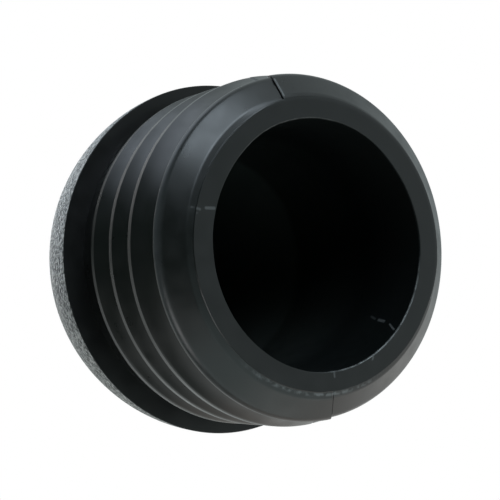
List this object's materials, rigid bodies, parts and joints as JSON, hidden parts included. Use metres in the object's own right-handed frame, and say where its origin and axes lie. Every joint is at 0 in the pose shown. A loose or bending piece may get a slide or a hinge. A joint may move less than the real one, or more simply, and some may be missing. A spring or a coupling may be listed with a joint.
{
  "type": "tube end cap",
  "caption": "Domed plastic end cap for a round tube: a rounded head and flat shoulder on a hollow barrel ringed with barbs that press into the end of the tube.",
  "frame": {"origin": "centre of the open rim's face, which the cap stands on", "axes": "+Z along the axis from the open rim through the barrel to the top of the domed head"},
  "size_m": [0.025, 0.025, 0.0245],
  "materials": {
    "cap_plastic": "black moulded polyethylene, satin on the barrel and shoulder, fine spark-eroded grain on the dome"
  },
  "bodies": {
    "root": {"end_cap": "cap_plastic"}
  },
  "joints": []
}
